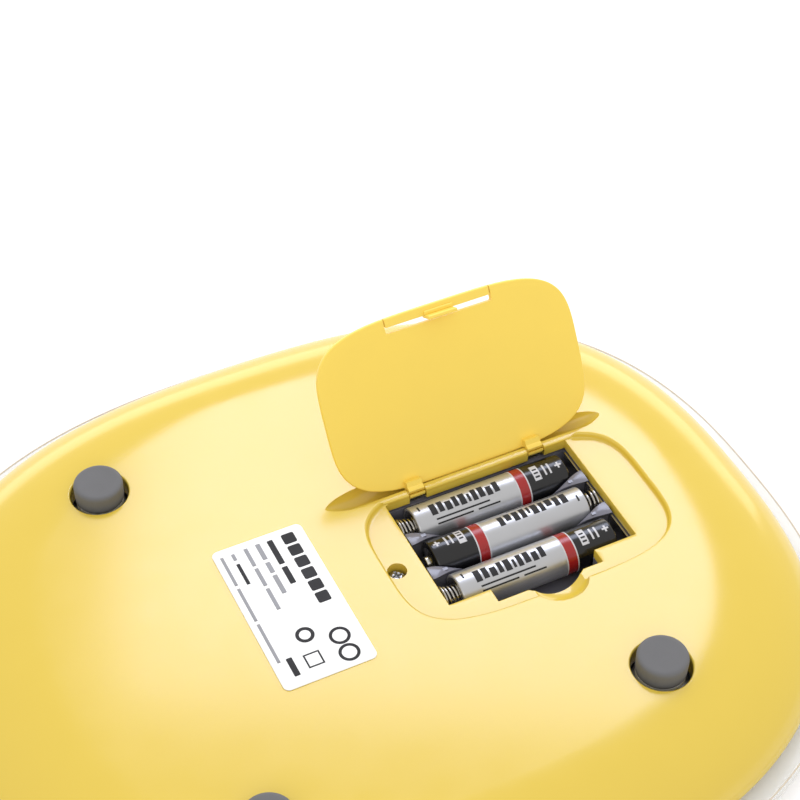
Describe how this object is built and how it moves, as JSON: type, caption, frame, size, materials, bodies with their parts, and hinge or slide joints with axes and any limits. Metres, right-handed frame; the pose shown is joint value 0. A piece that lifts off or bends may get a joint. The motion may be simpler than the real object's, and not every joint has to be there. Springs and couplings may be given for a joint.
{
  "type": "kitchen scale",
  "caption": "Digital kitchen scale with a clear platform, shown face down with its hinged battery door open on AAA cells.",
  "frame": {"origin": "centre of the platform's own face, which lies on z = 0: the scale is modelled face down, as for a battery change", "axes": "+Z out of the underside, where the feet and the battery door are; +X along the longer side, from the display end to the battery end; +Y from the door's latch to its hinge"},
  "size_m": [0.224, 0.193, 0.0537],
  "materials": {
    "clear_acrylic": "clear moulded acrylic, polished",
    "printed_film": "yellow printed film, satin",
    "yellow_gloss_abs": "gloss moulded ABS",
    "yellow_satin_abs": "satin moulded ABS",
    "black_abs": "satin moulded ABS",
    "white_plastic": "satin moulded plastic",
    "grey_rubber": "matte moulded rubber",
    "stamped_steel": "stamped and drawn steel",
    "nickel_plate": "nickel plated strip",
    "cell_sleeve": "printed foil sleeve over a steel can",
    "label_white": "satin polyester label",
    "board_green": "solder resist over glass fibre",
    "lcd_glass": "polarised display glass",
    "dark_rubber": "matte rubber",
    "red_wire": "PVC insulation",
    "black_wire": "PVC insulation",
    "grey_wire": "PVC insulation"
  },
  "bodies": {
    "root": {"platform": "clear_acrylic", "backing_sheet": "printed_film", "bottom_shell": "yellow_gloss_abs", "battery_tray": "black_abs", "lcd_frame": "black_abs", "chip_cover": "black_abs", "tare_switch": "black_abs", "unit_switch": "black_abs", "inner_frame": "white_plastic", "load_cell_holder_1": "white_plastic", "load_cell_holder_2": "white_plastic", "load_cell_holder_3": "white_plastic", "load_cell_holder_4": "white_plastic", "load_cell_1": "stamped_steel", "load_cell_2": "stamped_steel", "load_cell_3": "stamped_steel", "load_cell_4": "stamped_steel", "holder_screw_1": "stamped_steel", "holder_screw_2": "stamped_steel", "holder_screw_3": "stamped_steel", "holder_screw_4": "stamped_steel", "board_screw_1": "stamped_steel", "board_screw_2": "stamped_steel", "board_screw_3": "stamped_steel", "board_screw_4": "stamped_steel", "recess_screw": "stamped_steel", "contact_spring_1": "stamped_steel", "contact_spring_2": "stamped_steel", "contact_spring_3": "stamped_steel", "negative_plate": "nickel_plate", "positive_plate": "nickel_plate", "left_bridge_plate": "nickel_plate", "right_bridge_plate": "nickel_plate", "battery_cell_1": "cell_sleeve", "battery_cell_2": "cell_sleeve", "battery_cell_3": "cell_sleeve", "label": "label_white", "main_board": "board_green", "lcd_panel": "lcd_glass", "zebra_strip": "dark_rubber", "battery_lead_red": "red_wire", "battery_lead_black": "black_wire", "cell_lead_1": "grey_wire", "cell_lead_2": "grey_wire", "cell_lead_3": "grey_wire", "cell_lead_4": "grey_wire"},
    "door": {"battery_door": "yellow_satin_abs"},
    "latch": {"door_latch": "yellow_satin_abs"},
    "tare": {"tare_button": "white_plastic"},
    "unit": {"unit_button": "white_plastic"},
    "foot_1": {"rubber_foot_1": "grey_rubber", "foot_cup_1": "white_plastic"},
    "foot_2": {"rubber_foot_2": "grey_rubber", "foot_cup_2": "white_plastic"},
    "foot_3": {"rubber_foot_3": "grey_rubber", "foot_cup_3": "white_plastic"},
    "foot_4": {"rubber_foot_4": "grey_rubber", "foot_cup_4": "white_plastic"}
  },
  "joints": [
    {"name": "door_hinge", "type": "hinge", "parent": "root", "child": "door", "pos_m": [0.0407, 0.022, 0.0164], "axis": [-1, 0, 0], "range_deg": [-122, 0]},
    {"name": "latch_flex", "type": "slide", "parent": "door", "child": "latch", "axis": [0, -0.5299, -0.848], "range_m": [0, 0.0006], "stiffness_N_per_m": 3000},
    {"name": "foot_1_travel", "type": "slide", "parent": "root", "child": "foot_1", "axis": [0, 0, -1], "range_m": [0, 0.0005], "stiffness_N_per_m": 15000, "deforming": ["load_cell_1"]},
    {"name": "foot_2_travel", "type": "slide", "parent": "root", "child": "foot_2", "axis": [0, 0, -1], "range_m": [0, 0.0005], "stiffness_N_per_m": 15000, "deforming": ["load_cell_2"]},
    {"name": "foot_3_travel", "type": "slide", "parent": "root", "child": "foot_3", "axis": [0, 0, -1], "range_m": [0, 0.0005], "stiffness_N_per_m": 15000, "deforming": ["load_cell_3"]},
    {"name": "foot_4_travel", "type": "slide", "parent": "root", "child": "foot_4", "axis": [0, 0, -1], "range_m": [0, 0.0005], "stiffness_N_per_m": 15000, "deforming": ["load_cell_4"]},
    {"name": "tare_press", "type": "slide", "parent": "root", "child": "tare", "axis": [0, 0, 1], "range_m": [0, 0.0006], "stiffness_N_per_m": 2500},
    {"name": "unit_press", "type": "slide", "parent": "root", "child": "unit", "axis": [0, 0, 1], "range_m": [0, 0.0006], "stiffness_N_per_m": 2500}
  ]
}
